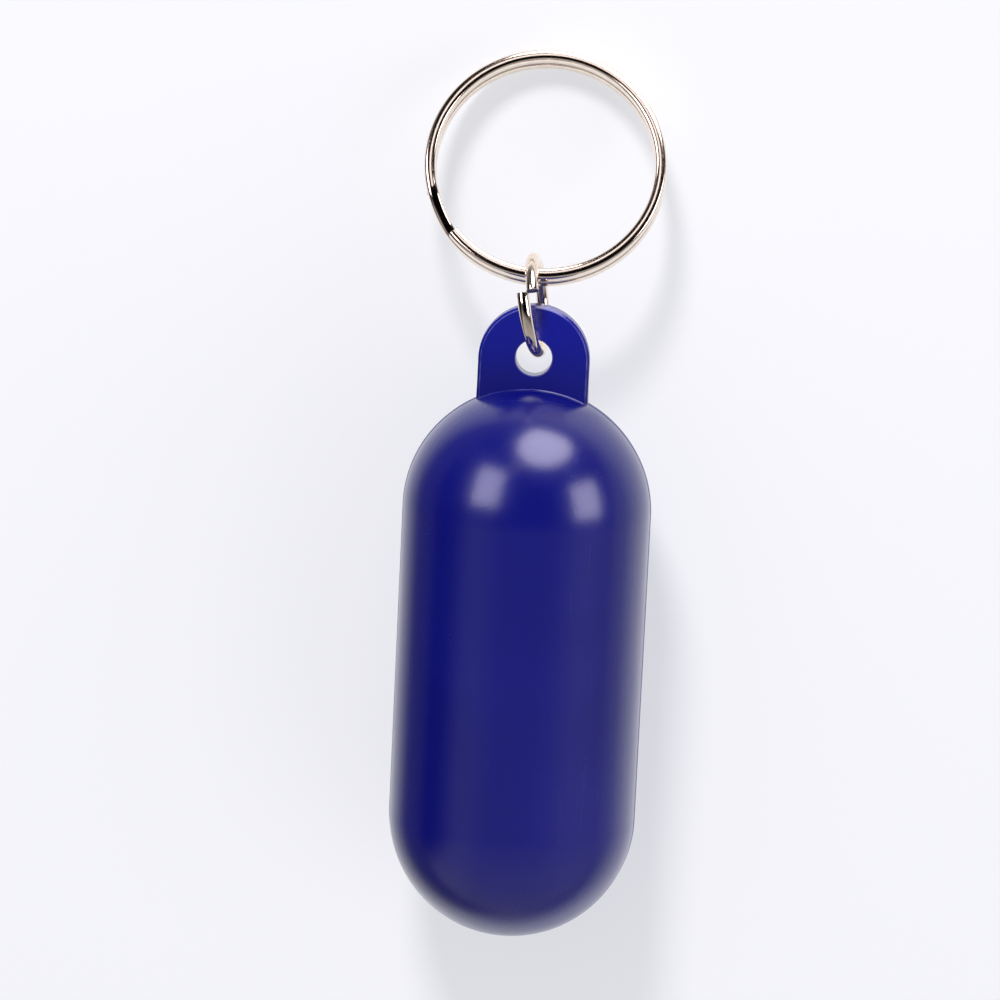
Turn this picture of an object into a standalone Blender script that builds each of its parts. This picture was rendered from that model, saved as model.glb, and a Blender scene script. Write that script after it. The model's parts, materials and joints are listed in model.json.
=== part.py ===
"""Floating keychain: a sealed capsule float with an eye tab, a jump ring and a split key ring.

The keychain lies on a table. Units are metres, +Z is up, and the float's long axis runs along Y
with the key ring towards +Y. The origin is on the table, under the middle of the keychain.
"""

from math import asin, atan2, cos, hypot, pi, radians, sin, sqrt, tau

import bmesh
import bpy
from mathutils import Euler, Vector

MM = 0.001

# Float: a moulded capsule, round in section, with a dome at each end
FLOAT_RADIUS = 15.0 * MM
FLOAT_STRAIGHT = 38.0 * MM
FLOAT_SIDES = 48
DOME_STEPS = 10

# The mould's parting line runs round the capsule as a fine ridge, in the plane of the tab
RIDGE_HEIGHT = 0.08 * MM
RIDGE_WIDTH = 0.3 * MM
RIDGE_DEPTH = 1.0 * MM

# Eye tab, moulded with the float: a flat plate with a round end and a hole
TAB_RADIUS = 6.7 * MM
TAB_REACH = 10.2 * MM
TAB_THICKNESS = 2.6 * MM
TAB_ROOT = 5.0 * MM
TAB_EDGE_ROUND = 0.25 * MM
TAB_END_STEPS = 32
HOLE_RADIUS = 2.2 * MM
HOLE_FROM_TIP = 6.35 * MM
HOLE_STEPS = 32

# Jump ring: one turn of round wire, its cut ends side by side where it was twisted shut.
# It leans and turns a little in the hole, and rests against the hole's wall on one side of the tip.
JUMP_OUTER_RADIUS = 6.35 * MM
JUMP_WIRE = 1.5 * MM
JUMP_CUT_ANGLE = radians(155.0)
JUMP_END_SHIFT = 1.2 * MM
JUMP_END_GAP = 0.2 * MM
JUMP_LEAN = radians(5.0)
JUMP_TURN = radians(10.0)
JUMP_WALL_ANGLE = radians(42.0)
JUMP_STEPS = 40

# Split ring: two turns of flattened wire, one on the other, joined by a short step
RING_OUTER_RADIUS = 14.65 * MM
RING_WIRE_WIDTH = 1.4 * MM
RING_WIRE_HEIGHT = 1.7 * MM
RING_WIRE_ROUND = 0.5 * MM
RING_COIL_GAP = 0.3 * MM
RING_CUT_ANGLE = radians(221.0)
RING_STEP_ANGLE = radians(26.0)
RING_DROP = 0.9 * MM
RING_STEPS = 108
CORNER_STEPS = 2

# Running clearance between pieces that hang in one another
CLEARANCE = 0.3 * MM

# Lengths along Y, measured from the centre of the dome that carries the tab
TAB_TIP = FLOAT_RADIUS + TAB_REACH
HOLE_CENTRE = TAB_TIP - HOLE_FROM_TIP
AXIS_Z = FLOAT_RADIUS

JUMP_INNER_RADIUS = JUMP_OUTER_RADIUS - JUMP_WIRE
JUMP_WIRE_RADIUS = JUMP_OUTER_RADIUS - JUMP_WIRE / 2
JUMP_ROTATION = Euler((0.0, -JUMP_LEAN, JUMP_TURN))


def jump_point(angle):
    """Place on the jump ring's wire in the ring's own frame: its axis is X, and angle 0 is its foot."""
    x = JUMP_END_SHIFT * (angle + pi - JUMP_CUT_ANGLE) / tau
    y = JUMP_WIRE_RADIUS * sin(angle)
    z = -JUMP_WIRE_RADIUS * cos(angle)
    return Vector((x, y, z))


def jump_centre():
    """Place of the jump ring's centre from the hole's, with its wire a clearance off the hole's edge."""
    mouth_angle = asin(TAB_THICKNESS / 2 / JUMP_WIRE_RADIUS) - pi / 2
    mouth = JUMP_ROTATION.to_matrix() @ jump_point(mouth_angle)
    reach = HOLE_RADIUS - CLEARANCE - JUMP_WIRE / 2
    return Vector((reach * sin(JUMP_WALL_ANGLE) - mouth.x, reach * cos(JUMP_WALL_ANGLE) - mouth.y, 0.0))


JUMP_OFFSET = jump_centre()
JUMP_CENTRE = HOLE_CENTRE + JUMP_OFFSET.y

# Split ring's stack of two coils, and the half sizes of its section inside the rounded corners
RING_PITCH = RING_WIRE_HEIGHT + RING_COIL_GAP
RING_STACK = RING_PITCH + RING_WIRE_HEIGHT
RING_WIRE_RADIUS = RING_OUTER_RADIUS - RING_WIRE_WIDTH / 2
CORE_WIDTH = RING_WIRE_WIDTH / 2 - RING_WIRE_ROUND
CORE_HEIGHT = RING_STACK / 2 - RING_WIRE_ROUND


def ring_tilt():
    """Slope of the split ring: its far end lies on the table, its near end hangs in the jump ring."""
    rise = AXIS_Z - RING_DROP - RING_WIRE_ROUND
    run = CORE_WIDTH + 2 * RING_WIRE_RADIUS
    return asin(rise / hypot(run, CORE_HEIGHT)) - atan2(CORE_HEIGHT, run)


RING_TILT = ring_tilt()


def stack_corners():
    """Centres of the rounded corners of the stack's section at the tab end, as (y, z) from its middle."""
    corners = []
    for side in (-CORE_WIDTH, CORE_WIDTH):
        for end in (-CORE_HEIGHT, CORE_HEIGHT):
            y = side * cos(RING_TILT) + end * sin(RING_TILT)
            z = end * cos(RING_TILT) - side * sin(RING_TILT)
            corners.append((y, z))
    return corners


# The near end lies against the inside of the jump ring's far bend, a clearance away from it
CORNER_REACH = JUMP_INNER_RADIUS - CLEARANCE - RING_WIRE_ROUND
RING_NEAR = JUMP_CENTRE + min(
    sqrt(CORNER_REACH ** 2 - (z - RING_DROP) ** 2) - y for y, z in stack_corners()
)
RING_CENTRE = RING_NEAR + RING_WIRE_RADIUS * cos(RING_TILT)
RING_CENTRE_Z = AXIS_Z - RING_DROP - RING_WIRE_RADIUS * sin(RING_TILT)
STACK_HALF_LENGTH = max(y for y, _ in stack_corners()) + RING_WIRE_ROUND
RING_FAR = RING_CENTRE + RING_WIRE_RADIUS * cos(RING_TILT) + STACK_HALF_LENGTH

# The dome centre's place puts the origin under the middle of the whole length
DOME_Y = (FLOAT_RADIUS + FLOAT_STRAIGHT - RING_FAR) / 2

BLUE = (0.012, 0.014, 0.19, 1.0)
NICKEL = (0.86, 0.80, 0.72, 1.0)


def new_collection(name):
    """Make a collection in the scene."""
    collection = bpy.data.collections.new(name)
    bpy.context.scene.collection.children.link(collection)
    return collection


def new_material(name, colour, roughness, metallic):
    """Make a plain Principled material."""
    material = bpy.data.materials.new(name)
    material.use_nodes = True
    shader = material.node_tree.nodes["Principled BSDF"]
    shader.inputs["Base Color"].default_value = colour
    shader.inputs["Roughness"].default_value = roughness
    shader.inputs["Metallic"].default_value = metallic
    material.diffuse_color = colour
    return material


def new_object(name, data, collection):
    """Make an object in a collection."""
    obj = bpy.data.objects.new(name, data)
    collection.objects.link(obj)
    return obj


def new_pivot(name, place, parent, collection):
    """Make an empty at a joint's axis."""
    pivot = new_object(name, None, collection)
    pivot.empty_display_size = 3.0 * MM
    pivot.location = place
    if parent:
        pivot.parent = parent
        pivot.location -= parent.location
    return pivot


def make_guide(obj):
    """Show a cutter or a guide as wire only."""
    obj.hide_render = True
    obj.display_type = "WIRE"


def arc(centre, radius, start, end, steps):
    """Points along an arc in a plane, both ends included."""
    points = []
    for step in range(steps + 1):
        angle = start + (end - start) * step / steps
        points.append((centre[0] + radius * cos(angle), centre[1] + radius * sin(angle)))
    return points


def add_spline(curve, points, closed):
    """Add a spline of straight stretches through the points."""
    spline = curve.splines.new("POLY")
    spline.points.add(len(points) - 1)
    for point, place in zip(spline.points, points):
        x, y, z = place if len(place) == 3 else (*place, 0.0)
        point.co = (x, y, z, 1.0)
    spline.use_cyclic_u = closed
    return spline


def plate(name, outlines, thickness, collection):
    """Make a flat plate from closed outlines, the later ones being holes in the first."""
    curve = bpy.data.curves.new(name + "_outline", "CURVE")
    curve.dimensions = "2D"
    curve.fill_mode = "BOTH"
    curve.extrude = thickness / 2
    for outline in outlines:
        add_spline(curve, outline, True)
    source = new_object(name + "_outline", curve, collection)
    bpy.context.view_layer.update()
    evaluated = source.evaluated_get(bpy.context.evaluated_depsgraph_get())
    mesh = bpy.data.meshes.new_from_object(evaluated)
    bpy.data.objects.remove(source)
    shape = bmesh.new()
    shape.from_mesh(mesh)
    bmesh.ops.remove_doubles(shape, verts=shape.verts, dist=0.001 * MM)
    bmesh.ops.recalc_face_normals(shape, faces=shape.faces)
    shape.to_mesh(mesh)
    shape.free()
    mesh.name = name
    obj = new_object(name, mesh, collection)
    make_guide(obj)
    return obj


def tab_plate(collection):
    """Make the eye tab with its hole and its rounded edges."""
    round_end = arc((0.0, TAB_TIP - TAB_RADIUS), TAB_RADIUS, 0.0, pi, TAB_END_STEPS)
    root_y = FLOAT_RADIUS - TAB_ROOT
    outline = round_end + [(-TAB_RADIUS, root_y), (TAB_RADIUS, root_y)]
    hole = arc((0.0, HOLE_CENTRE), HOLE_RADIUS, 0.0, tau * (1 - 1 / HOLE_STEPS), HOLE_STEPS - 1)
    tab = plate("tab_plate", [outline, hole], TAB_THICKNESS, collection)
    tab.location = (0.0, DOME_Y, AXIS_Z)
    rounding = tab.modifiers.new("edge_round", "BEVEL")
    rounding.width = TAB_EDGE_ROUND
    rounding.segments = 2
    rounding.limit_method = "ANGLE"
    rounding.angle_limit = radians(50.0)
    return tab


def stadium(radius):
    """Outline of the capsule's long section, seen from above."""
    near = arc((0.0, 0.0), radius, 0.0, pi, 2 * DOME_STEPS)
    far = arc((0.0, -FLOAT_STRAIGHT), radius, pi, tau, 2 * DOME_STEPS)
    return near + far


def ridge_plate(collection):
    """Make the thin band that stands out of the capsule as its parting line."""
    outlines = [stadium(FLOAT_RADIUS + RIDGE_HEIGHT), stadium(FLOAT_RADIUS - RIDGE_DEPTH)]
    ridge = plate("ridge_plate", outlines, RIDGE_WIDTH, collection)
    ridge.location = (0.0, DOME_Y, AXIS_Z)
    return ridge


def capsule_profile():
    """Half outline of the capsule from its tab end down its outer side, as (radius, height)."""
    top = arc((0.0, 0.0), FLOAT_RADIUS, pi / 2, 0.0, DOME_STEPS)
    bottom = arc((0.0, -FLOAT_STRAIGHT), FLOAT_RADIUS, 0.0, -pi / 2, DOME_STEPS)
    return top + bottom


def float_body(collection, cutters):
    """Make the float: a turned capsule, joined with its tab and its parting line."""
    profile = bpy.data.meshes.new("float_body")
    points = [(radius, 0.0, height) for radius, height in capsule_profile()]
    profile.from_pydata(points, [(i, i + 1) for i in range(len(points) - 1)], [])
    body = new_object("float_body", profile, collection)
    body.location = (0.0, DOME_Y, AXIS_Z)
    body.rotation_euler = (-pi / 2, pi / FLOAT_SIDES, 0.0)
    turning = body.modifiers.new("turning", "SCREW")
    turning.axis = "Z"
    turning.steps = FLOAT_SIDES
    turning.render_steps = FLOAT_SIDES
    turning.use_merge_vertices = True
    turning.merge_threshold = 0.001 * MM
    turning.use_smooth_shade = True
    for piece in (tab_plate(cutters), ridge_plate(cutters)):
        joining = body.modifiers.new("join_" + piece.name, "BOOLEAN")
        joining.operation = "UNION"
        joining.object = piece
    profile.materials.append(new_material("blue_plastic", BLUE, 0.28, 0.0))
    return body


def jump_ring(collection, pivot):
    """Make the jump ring: one turn of wire about its own X axis, open at its cut."""
    half_turn = pi - JUMP_END_GAP / 2 / JUMP_WIRE_RADIUS
    points = []
    for step in range(JUMP_STEPS + 1):
        points.append(jump_point(JUMP_CUT_ANGLE - pi + half_turn * (2 * step / JUMP_STEPS - 1)))
    curve = bpy.data.curves.new("jump_ring", "CURVE")
    curve.dimensions = "3D"
    curve.bevel_depth = JUMP_WIRE / 2
    curve.bevel_resolution = 2
    curve.use_fill_caps = True
    add_spline(curve, points, False)
    ring = new_object("jump_ring", curve, collection)
    ring.parent = pivot
    ring.location = JUMP_OFFSET
    ring.rotation_euler = JUMP_ROTATION
    curve.materials.append(new_material("jump_ring_nickel", NICKEL, 0.12, 1.0))
    return ring


def wire_section(cutters):
    """Make the guide for the split ring's wire: a flat section with rounded corners."""
    half_height = RING_WIRE_HEIGHT / 2 - RING_WIRE_ROUND
    points = []
    for quarter, (side, end) in enumerate([(1, 1), (-1, 1), (-1, -1), (1, -1)]):
        centre = (side * CORE_WIDTH, end * half_height)
        start = quarter * pi / 2
        points += arc(centre, RING_WIRE_ROUND, start, start + pi / 2, CORNER_STEPS)
    curve = bpy.data.curves.new("wire_section", "CURVE")
    curve.dimensions = "2D"
    curve.fill_mode = "NONE"
    add_spline(curve, list(reversed(points)), True)
    section = new_object("wire_section", curve, cutters)
    make_guide(section)
    return section


def coil_height(angle):
    """Height of the wire above the ring's mid-plane: a level turn, the step down, a level turn."""
    share = (angle - (tau - RING_STEP_ANGLE)) / RING_STEP_ANGLE
    share = min(max(share, 0.0), 1.0)
    return RING_PITCH * (0.5 - share * share * (3 - 2 * share))


def split_ring(collection, cutters, pivot):
    """Make the split ring: two turns of flattened wire in its own XY plane, tilted to the table."""
    points = []
    turns = 2 * tau - RING_STEP_ANGLE
    for step in range(RING_STEPS + 1):
        angle = turns * step / RING_STEPS
        place = RING_CUT_ANGLE + angle
        points.append((RING_WIRE_RADIUS * cos(place), RING_WIRE_RADIUS * sin(place), coil_height(angle)))
    curve = bpy.data.curves.new("split_ring", "CURVE")
    curve.dimensions = "3D"
    curve.twist_mode = "Z_UP"
    curve.bevel_mode = "OBJECT"
    curve.bevel_object = wire_section(cutters)
    curve.use_fill_caps = True
    add_spline(curve, points, False)
    ring = new_object("split_ring", curve, collection)
    ring.parent = pivot
    ring.location = (0.0, RING_CENTRE - JUMP_CENTRE, RING_CENTRE_Z - AXIS_Z)
    ring.rotation_euler = (-RING_TILT, 0.0, 0.0)
    curve.materials.append(new_material("split_ring_nickel", NICKEL, 0.12, 1.0))
    return ring


def main():
    """Clear the scene and build the keychain."""
    for obj in list(bpy.data.objects):
        bpy.data.objects.remove(obj)
    keychain = new_collection("floating_keychain")
    cutters = new_collection("cutters")
    float_body(keychain, cutters)
    hole_axis = new_pivot("jump_ring_pivot", (0.0, DOME_Y + HOLE_CENTRE, AXIS_Z), None, keychain)
    jump_ring(keychain, hole_axis)
    jump_axis = new_pivot("split_ring_pivot", (0.0, DOME_Y + JUMP_CENTRE, AXIS_Z), hole_axis, keychain)
    split_ring(keychain, cutters, jump_axis)
    bpy.context.view_layer.update()


main()
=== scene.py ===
"""Looks of a floating keychain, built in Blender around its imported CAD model.

The keychain lies on a pale floor: a blue capsule float with an eye tab, a wire jump ring through the
tab, and a two-turn split key ring. Units are metres, +Z is up, and the float's long axis is Y.
"""

import json
import logging
from dataclasses import dataclass, field
from enum import Enum
from math import asin, cos, pi, radians, sin, tan, tau
from typing import Any

import bmesh
import bpy
import numpy as np
from mathutils import Euler, Matrix, Vector


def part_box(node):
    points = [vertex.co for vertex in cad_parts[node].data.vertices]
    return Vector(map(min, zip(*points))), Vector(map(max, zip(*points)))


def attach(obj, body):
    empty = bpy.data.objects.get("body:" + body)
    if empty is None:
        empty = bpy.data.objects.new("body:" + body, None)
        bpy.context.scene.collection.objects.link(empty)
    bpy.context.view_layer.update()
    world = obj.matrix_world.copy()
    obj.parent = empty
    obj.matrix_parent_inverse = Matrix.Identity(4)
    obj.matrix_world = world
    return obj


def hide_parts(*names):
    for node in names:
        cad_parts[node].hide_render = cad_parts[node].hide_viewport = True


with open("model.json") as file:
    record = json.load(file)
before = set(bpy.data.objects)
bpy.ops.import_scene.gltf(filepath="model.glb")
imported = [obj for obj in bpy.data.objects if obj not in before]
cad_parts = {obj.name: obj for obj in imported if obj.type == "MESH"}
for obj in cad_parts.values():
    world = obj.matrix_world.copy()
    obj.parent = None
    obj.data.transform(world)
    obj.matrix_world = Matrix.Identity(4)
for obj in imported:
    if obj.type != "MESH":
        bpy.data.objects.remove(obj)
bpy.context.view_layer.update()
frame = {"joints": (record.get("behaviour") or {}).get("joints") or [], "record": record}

LOG = logging.getLogger("keychain")
MM = 0.001
IMAGE_PIXELS = 1000
SENSOR_MM = 36.0
Colour = tuple[float, float, float, float]
Socket = bpy.types.NodeSocket


class Body(Enum):
    """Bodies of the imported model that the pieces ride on."""

    FLOAT = "float"
    JUMP_RING = "jump_ring"
    SPLIT_RING = "split_ring"


class Spread(Enum):
    """How a wound wire moves along its axis over its turns."""

    LEVEL_TURNS = True
    EVEN_HELIX = False


def joint_place(name: str) -> Vector:
    """Return the point on a joint's axis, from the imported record.

    Args:
        name: The joint's name.

    Returns:
        The point in the frame's metres.
    """
    joint = next(row for row in frame["joints"] if row["name"] == name)
    return Vector(joint["pos_m"])


def smooth_step(share: np.ndarray) -> np.ndarray:
    """Ease a share from 0 to 1, flat at both ends and held outside them."""
    held = np.clip(share, 0.0, 1.0)
    return held * held * (3.0 - 2.0 * held)


class NodeSheet:
    """A node tree with short calls to add nodes and join them."""

    def __init__(self, tree: bpy.types.NodeTree) -> None:
        """Keep the tree, emptied of what Blender puts there."""
        self.tree = tree
        tree.nodes.clear()

    def add(self, kind: str, inputs: dict[Any, Any] | None = None, **settings: Any) -> bpy.types.Node:
        """Add a node.

        Args:
            kind: The node's Blender type.
            inputs: Sockets by name or number, each with a value or with the output that feeds it.
            settings: The node's own properties.

        Returns:
            The new node.
        """
        node = self.tree.nodes.new(kind)
        for name, value in settings.items():
            setattr(node, name, value)
        for key, value in (inputs or {}).items():
            self.feed(node, key, value)
        return node

    def feed(self, node: bpy.types.Node, key: Any, value: Any) -> None:
        """Give a socket a value, or join it to an output.

        Args:
            node: The node that has the socket.
            key: The socket's name or number.
            value: The value, or the output that feeds it.
        """
        socket = node.inputs[key]
        if isinstance(value, Socket):
            self.tree.links.new(value, socket)
        else:
            socket.default_value = value

    def math(self, operation: str, *values: Any) -> Socket:
        """Work out a number from one, two or three others, and return its output."""
        node = self.add("ShaderNodeMath", dict(enumerate(values)), operation=operation)
        return node.outputs[0]

    def vector_math(self, operation: str, *values: Any) -> Socket:
        """Work out a vector from others, and return its output."""
        node = self.add("ShaderNodeVectorMath", dict(enumerate(values)), operation=operation)
        return node.outputs[0]

    def noise(self, vector: Any, scale: Any, detail: float) -> Socket:
        """Add a noise, and return its value."""
        inputs = {"Vector": vector, "Scale": scale, "Detail": detail}
        return self.add("ShaderNodeTexNoise", inputs).outputs[0]

    def blend(self, share: Any, first: Any, second: Any) -> Socket:
        """Mix two colours, and return the output."""
        node = self.add("ShaderNodeMix", {0: share, 6: first, 7: second}, data_type="RGBA")
        return node.outputs[2]


@dataclass(frozen=True)
class Fade:
    """A level that eases from one value to another between two places."""

    start: float
    end: float
    start_level: float = 0.0
    end_level: float = 1.0

    def along(self, sheet: NodeSheet, value: Any) -> Socket:
        """Add the nodes that read the level at a value.

        Args:
            sheet: The sheet to add them to.
            value: The value.

        Returns:
            The level's output.
        """
        places = {"Value": value, "From Min": self.start, "From Max": self.end}
        levels = {"To Min": self.start_level, "To Max": self.end_level}
        node = sheet.add("ShaderNodeMapRange", places | levels, interpolation_type="SMOOTHSTEP")
        return node.outputs["Result"]


def new_object(name: str, data: Any) -> bpy.types.Object:
    """Make an object in the scene.

    Args:
        name: The object's name.
        data: Its mesh, lamp or camera.

    Returns:
        The object.
    """
    obj = bpy.data.objects.new(name, data)
    bpy.context.scene.collection.objects.link(obj)
    return obj


def group_sockets(
    tree: bpy.types.NodeTree, inputs: dict[str, tuple[str, Any]], outputs: dict[str, str]
) -> None:
    """Give a node group its named sockets.

    Args:
        tree: The node group.
        inputs: Each input's socket type and its default, or None for no default.
        outputs: Each output's socket type.
    """
    for name, (kind, default) in inputs.items():
        socket = tree.interface.new_socket(name, in_out="INPUT", socket_type=kind)
        if default is not None:
            socket.default_value = default
    for name, kind in outputs.items():
        tree.interface.new_socket(name, in_out="OUTPUT", socket_type=kind)


class SurfaceEffects:
    """Shader groups that more than one of the keychain's finishes use."""

    PIT_SPACING = 0.7
    PIT_MASK = Fade(0.05, 0.3, 1.0, 0.0)
    PIT_PATCH_SCALE = 260.0
    PIT_PATCHES = Fade(0.45, 0.7, 0.1, 1.0)
    WEAR_BREAKS = Fade(0.35, 0.7, 0.15, 1.0)
    LINE_MASK = Fade(0.56, 0.7)
    LINE_PATCH_SCALE = 90.0
    LINE_PATCHES = Fade(0.5, 0.65)

    def __init__(self) -> None:
        """Build each group once."""
        self.grain = self.build_grain()
        self.wear = self.build_wear()
        self.hairlines = self.build_hairlines()

    def build_grain(self) -> bpy.types.NodeTree:
        """Build the fine grain of a moulded or plated surface.

        Returns:
            The group, which puts out a height and a mask of its pits.
        """
        tree = bpy.data.node_groups.new("surface_grain", "ShaderNodeTree")
        group_sockets(
            tree,
            {
                "Vector": ("NodeSocketVector", None),
                "Scale": ("NodeSocketFloat", 3000.0),
                "Pit Share": ("NodeSocketFloat", 0.3),
            },
            {"Height": "NodeSocketFloat", "Pits": "NodeSocketFloat"},
        )
        sheet = NodeSheet(tree)
        given = sheet.add("NodeGroupInput").outputs
        fine = sheet.noise(given["Vector"], given["Scale"], 4.0)
        pit_scale = sheet.math("MULTIPLY", given["Scale"], self.PIT_SPACING)
        pits = sheet.add("ShaderNodeTexVoronoi", {"Vector": given["Vector"], "Scale": pit_scale})
        mask = self.PIT_MASK.along(sheet, pits.outputs["Distance"])
        patches = sheet.noise(given["Vector"], self.PIT_PATCH_SCALE, 1.0)
        mask = sheet.math("MULTIPLY", mask, self.PIT_PATCHES.along(sheet, patches))
        sunk = sheet.math("MULTIPLY", mask, given["Pit Share"])
        height = sheet.math("SUBTRACT", fine, sunk)
        sheet.add("NodeGroupOutput", {"Height": height, "Pits": sunk})
        return tree

    def build_wear(self) -> bpy.types.NodeTree:
        """Build the rubbed look of an edge.

        Returns:
            The group, which puts out a mask that breaks up along the edge.
        """
        tree = bpy.data.node_groups.new("edge_wear", "ShaderNodeTree")
        group_sockets(
            tree,
            {
                "Vector": ("NodeSocketVector", None),
                "Edge": ("NodeSocketFloat", 0.0),
                "Amount": ("NodeSocketFloat", 0.5),
                "Scale": ("NodeSocketFloat", 900.0),
            },
            {"Mask": "NodeSocketFloat"},
        )
        sheet = NodeSheet(tree)
        given = sheet.add("NodeGroupInput").outputs
        patches = sheet.noise(given["Vector"], given["Scale"], 4.0)
        broken = self.WEAR_BREAKS.along(sheet, patches)
        mask = sheet.math("MULTIPLY", given["Edge"], broken)
        mask = sheet.math("MULTIPLY", mask, given["Amount"])
        sheet.add("NodeGroupOutput", {"Mask": mask})
        return tree

    def build_hairlines(self) -> bpy.types.NodeTree:
        """Build fine scratches and drawing marks, which run the way that the vector is stretched.

        Returns:
            The group, which puts out a height and a mask of the lines.
        """
        tree = bpy.data.node_groups.new("hairlines", "ShaderNodeTree")
        group_sockets(
            tree,
            {
                "Vector": ("NodeSocketVector", None),
                "Scale": ("NodeSocketFloat", 400.0),
                "Share": ("NodeSocketFloat", 0.3),
            },
            {"Height": "NodeSocketFloat", "Mask": "NodeSocketFloat"},
        )
        sheet = NodeSheet(tree)
        given = sheet.add("NodeGroupInput").outputs
        line = self.LINE_MASK.along(sheet, sheet.noise(given["Vector"], given["Scale"], 2.0))
        patches = sheet.noise(given["Vector"], self.LINE_PATCH_SCALE, 1.0)
        place = self.LINE_PATCHES.along(sheet, patches)
        mask = sheet.math("MULTIPLY", sheet.math("MULTIPLY", line, place), given["Share"])
        height = sheet.math("MULTIPLY", mask, -1.0)
        sheet.add("NodeGroupOutput", {"Height": height, "Mask": mask})
        return tree


def use_group(sheet: NodeSheet, tree: bpy.types.NodeTree, inputs: dict[str, Any]) -> bpy.types.Node:
    """Place a shader group in a material.

    Args:
        sheet: The material's sheet.
        tree: The group.
        inputs: A value or an output for each of the group's named inputs.

    Returns:
        The group's node.
    """
    node = sheet.add("ShaderNodeGroup", node_tree=tree)
    for key, value in inputs.items():
        sheet.feed(node, key, value)
    return node


def new_material(name: str) -> tuple[bpy.types.Material, NodeSheet]:
    """Make an empty material.

    Args:
        name: The material's name.

    Returns:
        The material and the sheet of its nodes.
    """
    material = bpy.data.materials.new(name)
    material.use_nodes = True
    return material, NodeSheet(material.node_tree)


@dataclass(frozen=True)
class FloatPlastic:
    """Deep blue moulded plastic, glossy with a fine grain; its edges are lighter, partly rubbed and partly
    a painted highlight, and its tab has painted light.
    """

    colour: Colour = (0.0012, 0.0032, 0.196, 1.0)
    deep_colour: Colour = (0.001, 0.0026, 0.174, 1.0)
    # Painted light: the lighter blue that the tab takes towards its tip, standing in for light through the
    # tab, with painted shade left at its root.
    painted_tab_light_colour: Colour = (0.0014, 0.005, 0.28, 1.0)
    # Lighter blue on the edges: partly rubbed wear, partly a painted highlight line along the tab's face
    # edges and the hole's mouth.
    rubbed_and_glint_colour: Colour = (0.11, 0.13, 0.42, 1.0)
    roughness: float = 0.23
    ior: float = 1.5
    skin: float = 0.5
    pit_roughness: float = 0.1
    line_roughness: float = 0.2
    cloud_roughness: float = 0.03
    grain_scale: float = 2400.0
    grain_depth: float = 0.012 * MM
    pit_share: float = 0.25
    rub_and_glint_amount: float = 0.75
    rub_and_glint_scale: float = 900.0
    line_stretch: tuple[float, float, float] = (1.0, 0.05, 1.0)
    line_scale: float = 1500.0
    line_share: float = 0.15
    cloud_scale: float = 70.0
    clouds: Fade = Fade(0.3, 0.7)
    wave_scale: float = 150.0
    wave_depth: float = 0.03 * MM

    def build(self, effects: SurfaceEffects) -> bpy.types.Material:
        """Build the material.

        Args:
            effects: The shader groups to place in it.

        Returns:
            The material, which reads the piece's edge attribute and the attribute of painted light on its
            tab.
        """
        material, sheet = new_material("float_plastic")
        place = sheet.add("ShaderNodeTexCoord").outputs["Object"]
        edge = sheet.add("ShaderNodeAttribute", attribute_name="edge").outputs["Fac"]
        tab_light = sheet.add("ShaderNodeAttribute", attribute_name="tab_light").outputs["Fac"]
        graining = {"Vector": place, "Scale": self.grain_scale, "Pit Share": self.pit_share}
        grain = use_group(sheet, effects.grain, graining)
        rub_and_glint = {"Vector": place, "Edge": edge, "Amount": self.rub_and_glint_amount, "Scale": self.rub_and_glint_scale}
        wear = use_group(sheet, effects.wear, rub_and_glint)
        stretched = sheet.vector_math("MULTIPLY", place, self.line_stretch)
        lining = {"Vector": stretched, "Scale": self.line_scale, "Share": self.line_share}
        lines = use_group(sheet, effects.hairlines, lining)

        clouded = self.clouds.along(sheet, sheet.noise(place, self.cloud_scale, 3.0))
        colour = sheet.blend(clouded, self.deep_colour, self.colour)
        # Painted light on the tab: lighter blue towards its tip, painted shade at its root.
        colour = sheet.blend(tab_light, colour, self.painted_tab_light_colour)
        # Edges go lighter: partly rubbed wear, partly a painted highlight.
        colour = sheet.blend(wear.outputs["Mask"], colour, self.rubbed_and_glint_colour)

        rough = sheet.math("MULTIPLY_ADD", grain.outputs["Pits"], self.pit_roughness, self.roughness)
        rough = sheet.math("ADD", rough, wear.outputs["Mask"])
        rough = sheet.math("MULTIPLY_ADD", lines.outputs["Mask"], self.line_roughness, rough)
        rough = sheet.math("MULTIPLY_ADD", clouded, self.cloud_roughness, rough)

        wave = sheet.noise(place, self.wave_scale, 1.0)
        broad = sheet.add("ShaderNodeBump", {"Height": wave, "Distance": self.wave_depth}).outputs[0]
        fine = {"Height": grain.outputs["Height"], "Distance": self.grain_depth, "Normal": broad}
        grained = sheet.add("ShaderNodeBump", fine)
        shader = sheet.add(
            "ShaderNodeBsdfPrincipled",
            {"Base Color": colour, "Roughness": rough, "IOR": self.ior, "Normal": grained.outputs[0]},
        )
        shader.inputs["Coat Weight"].default_value = self.skin
        shader.inputs["Coat Roughness"].default_value = self.roughness
        sheet.add("ShaderNodeOutputMaterial", {"Surface": shader.outputs[0]})
        return material


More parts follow.
